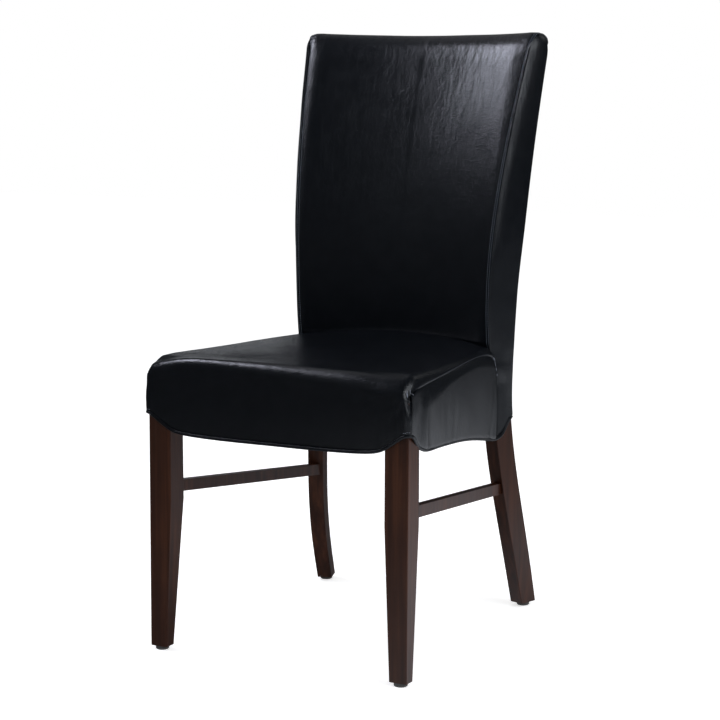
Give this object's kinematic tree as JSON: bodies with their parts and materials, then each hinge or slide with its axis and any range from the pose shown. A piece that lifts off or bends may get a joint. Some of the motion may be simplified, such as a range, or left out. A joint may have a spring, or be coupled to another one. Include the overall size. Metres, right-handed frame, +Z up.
{
  "type": "dining chair",
  "caption": "High-backed dining chair with a padded leather seat and curved leather back, a scalloped piped skirt, and dark tapered wooden legs joined by side stretchers.",
  "frame": {"origin": "on the floor, under the middle of the chair's outline", "axes": "+Z up, -Y the way the sitter faces, +X to the right of someone who stands in front and looks at the chair"},
  "size_m": [0.48, 0.5859, 1.002],
  "materials": {
    "espresso_wood": "stained dark brown, satin lacquer",
    "raw_wood": "sawn hardwood, unfinished",
    "black_leather": "glossy black, fine grain",
    "piping_leather": "glossy black, rolled over a cord",
    "foam": "polyurethane foam with a fibre wrap",
    "webbing": "elastic webbing",
    "lining_cloth": "non-woven black cloth",
    "glide_plastic": "moulded dark plastic",
    "zinc_steel": "zinc-plated steel"
  },
  "bodies": {
    "root": {"back_foam": "foam", "back_inner_cover": "black_leather", "back_lower_rail": "raw_wood", "back_middle_rail": "raw_wood", "back_outer_panel": "black_leather", "back_rail_dowels": "raw_wood", "back_side_panel_left": "black_leather", "back_side_panel_right": "black_leather", "back_top_rail": "raw_wood", "back_webbing": "webbing", "corner_block_front_left": "raw_wood", "corner_block_front_right": "raw_wood", "corner_block_rear_left": "raw_wood", "corner_block_rear_right": "raw_wood", "corner_block_screws": "zinc_steel", "dust_cover": "lining_cloth", "front_leg_left": "espresso_wood", "front_leg_right": "espresso_wood", "front_rail": "raw_wood", "glide_front_left": "glide_plastic", "glide_front_right": "glide_plastic", "glide_nails": "zinc_steel", "glide_rear_left": "glide_plastic", "glide_rear_right": "glide_plastic", "rear_leg_left": "espresso_wood", "rear_leg_right": "espresso_wood", "rear_rail": "raw_wood", "seat_cover": "black_leather", "seat_foam": "foam", "seat_rail_dowels": "raw_wood", "seat_side_panel_left": "black_leather", "seat_side_panel_right": "black_leather", "seat_webbing_crosswise": "webbing", "seat_webbing_lengthwise": "webbing", "side_rail_left": "raw_wood", "side_rail_right": "raw_wood", "side_stretcher_left": "espresso_wood", "side_stretcher_right": "espresso_wood", "skirt_piping": "piping_leather"}
  },
  "joints": []
}
